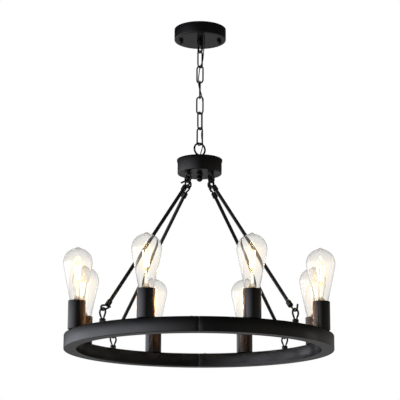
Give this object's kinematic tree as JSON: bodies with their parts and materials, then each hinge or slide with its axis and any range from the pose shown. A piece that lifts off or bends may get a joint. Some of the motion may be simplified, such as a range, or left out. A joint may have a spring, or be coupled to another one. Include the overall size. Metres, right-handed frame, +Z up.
{
  "type": "chandelier",
  "caption": "Ceiling chandelier: a round box-section ring hung by rods from a hub and a short chain, with plain candle cups and clear filament bulbs.",
  "frame": {"origin": "centre of the canopy's ceiling face", "axes": "+Z points up into the ceiling, +X points to the viewer's right, and the front is towards -Y"},
  "size_m": [0.5998, 0.6, 0.7537],
  "materials": {
    "black": "semi-gloss black paint",
    "zinc": "zinc plated",
    "cord": "smooth black",
    "holder": "moulded black",
    "lamp_glass": "clear",
    "lamp_base": "bright"
  },
  "bodies": {
    "mount": {"ceiling_bracket": "zinc", "bracket_studs": "zinc", "canopy": "black", "canopy_knobs": "black", "canopy_tube": "zinc", "canopy_loop": "black", "canopy_wiring": "cord", "power_cord": "cord"},
    "link_1": {"chain_link_1": "black"},
    "link_2": {"chain_link_2": "black"},
    "link_3": {"chain_link_3": "black"},
    "link_4": {"chain_link_4": "black"},
    "link_5": {"chain_link_5": "black"},
    "link_6": {"chain_link_6": "black"},
    "hub": {"hub_loop": "black", "hub_lid": "black", "hub_can": "black", "hub_tube": "zinc", "hub_finial": "black", "hub_eyes": "black", "hub_wiring": "cord"},
    "ring": {"ring_left": "black", "ring_right": "black", "ring_splices": "zinc", "ring_screws": "black", "ring_eyes": "black", "ring_wiring": "cord", "candle_cup_1": "black", "candle_cup_2": "black", "candle_cup_3": "black", "candle_cup_4": "black", "candle_cup_5": "black", "candle_cup_6": "black", "candle_cup_7": "black", "candle_cup_8": "black", "lamp_holders": "holder"},
    "rod_unit_1": {"rod_1": "black", "rod_hooks_1": "black"},
    "rod_unit_2": {"rod_2": "black", "rod_hooks_2": "black"},
    "rod_unit_3": {"rod_3": "black", "rod_hooks_3": "black"},
    "rod_unit_4": {"rod_4": "black", "rod_hooks_4": "black"},
    "bulb_1": {"bulb_glass_1": "lamp_glass", "bulb_base_1": "lamp_base"},
    "bulb_2": {"bulb_glass_2": "lamp_glass", "bulb_base_2": "lamp_base"},
    "bulb_3": {"bulb_glass_3": "lamp_glass", "bulb_base_3": "lamp_base"},
    "bulb_4": {"bulb_glass_4": "lamp_glass", "bulb_base_4": "lamp_base"},
    "bulb_5": {"bulb_glass_5": "lamp_glass", "bulb_base_5": "lamp_base"},
    "bulb_6": {"bulb_glass_6": "lamp_glass", "bulb_base_6": "lamp_base"},
    "bulb_7": {"bulb_glass_7": "lamp_glass", "bulb_base_7": "lamp_base"},
    "bulb_8": {"bulb_glass_8": "lamp_glass", "bulb_base_8": "lamp_base"}
  },
  "joints": [
    {"name": "link_1_swing", "type": "hinge", "parent": "mount", "child": "link_1", "pos_m": [0, 0, -0.056], "axis": [0.7986, -0.6018, 0], "range_deg": [-12, 12], "deforming": ["power_cord"]},
    {"name": "link_2_swing", "type": "hinge", "parent": "link_1", "child": "link_2", "pos_m": [0, 0, -0.0929], "axis": [0.6691, 0.7431, 0], "range_deg": [-12, 12]},
    {"name": "link_3_swing", "type": "hinge", "parent": "link_2", "child": "link_3", "pos_m": [0, 0, -0.1302], "axis": [0.9511, -0.309, 0], "range_deg": [-12, 12]},
    {"name": "link_4_swing", "type": "hinge", "parent": "link_3", "child": "link_4", "pos_m": [0, 0, -0.1675], "axis": [0.0349, 0.9994, 0], "range_deg": [-12, 12]},
    {"name": "link_5_swing", "type": "hinge", "parent": "link_4", "child": "link_5", "pos_m": [0, 0, -0.2048], "axis": [0.9781, -0.2079, 0], "range_deg": [-12, 12]},
    {"name": "link_6_swing", "type": "hinge", "parent": "link_5", "child": "link_6", "pos_m": [0, 0, -0.2421], "axis": [0.6157, 0.788, 0], "range_deg": [-12, 12]},
    {"name": "hub_swing", "type": "hinge", "parent": "link_6", "child": "hub", "pos_m": [0, 0, -0.2794], "axis": [0.809, -0.5878, 0], "range_deg": [-12, 12]},
    {"name": "ring_twist", "type": "hinge", "parent": "hub", "child": "ring", "pos_m": [0, 0, -0.7379], "axis": [0, 0, 1], "range_deg": [-3, 3], "stiffness_Nm_per_rad": 1.2},
    {"name": "rod_1_swing", "type": "hinge", "parent": "hub", "child": "rod_unit_1", "pos_m": [-0.02616, -0.02616, -0.37375], "axis": [-0.5561, -0.5561, 0.6177], "range_deg": [-2.2, 2.2]},
    {"name": "rod_2_swing", "type": "hinge", "parent": "hub", "child": "rod_unit_2", "pos_m": [0.02616, -0.02616, -0.37375], "axis": [0.5561, -0.5561, 0.6177], "range_deg": [-2.2, 2.2]},
    {"name": "rod_3_swing", "type": "hinge", "parent": "hub", "child": "rod_unit_3", "pos_m": [0.02616, 0.02616, -0.37375], "axis": [0.5561, 0.5561, 0.6177], "range_deg": [-2.2, 2.2]},
    {"name": "rod_4_swing", "type": "hinge", "parent": "hub", "child": "rod_unit_4", "pos_m": [-0.02616, 0.02616, -0.37375], "axis": [-0.5561, 0.5561, 0.6177], "range_deg": [-2.2, 2.2]},
    {"name": "bulb_1_lift", "type": "slide", "parent": "ring", "child": "bulb_1", "axis": [0, 0, 1], "range_m": [0, 0.04]},
    {"name": "bulb_2_lift", "type": "slide", "parent": "ring", "child": "bulb_2", "axis": [0, 0, 1], "range_m": [0, 0.04]},
    {"name": "bulb_3_lift", "type": "slide", "parent": "ring", "child": "bulb_3", "axis": [0, 0, 1], "range_m": [0, 0.04]},
    {"name": "bulb_4_lift", "type": "slide", "parent": "ring", "child": "bulb_4", "axis": [0, 0, 1], "range_m": [0, 0.04]},
    {"name": "bulb_5_lift", "type": "slide", "parent": "ring", "child": "bulb_5", "axis": [0, 0, 1], "range_m": [0, 0.04]},
    {"name": "bulb_6_lift", "type": "slide", "parent": "ring", "child": "bulb_6", "axis": [0, 0, 1], "range_m": [0, 0.04]},
    {"name": "bulb_7_lift", "type": "slide", "parent": "ring", "child": "bulb_7", "axis": [0, 0, 1], "range_m": [0, 0.04]},
    {"name": "bulb_8_lift", "type": "slide", "parent": "ring", "child": "bulb_8", "axis": [0, 0, 1], "range_m": [0, 0.04]}
  ],
  "couplings": [
    {"joint": "rod_1_swing", "follows": "ring_twist", "ratio": 0.7095},
    {"joint": "rod_2_swing", "follows": "ring_twist", "ratio": 0.7095},
    {"joint": "rod_3_swing", "follows": "ring_twist", "ratio": 0.7095},
    {"joint": "rod_4_swing", "follows": "ring_twist", "ratio": 0.7095}
  ]
}
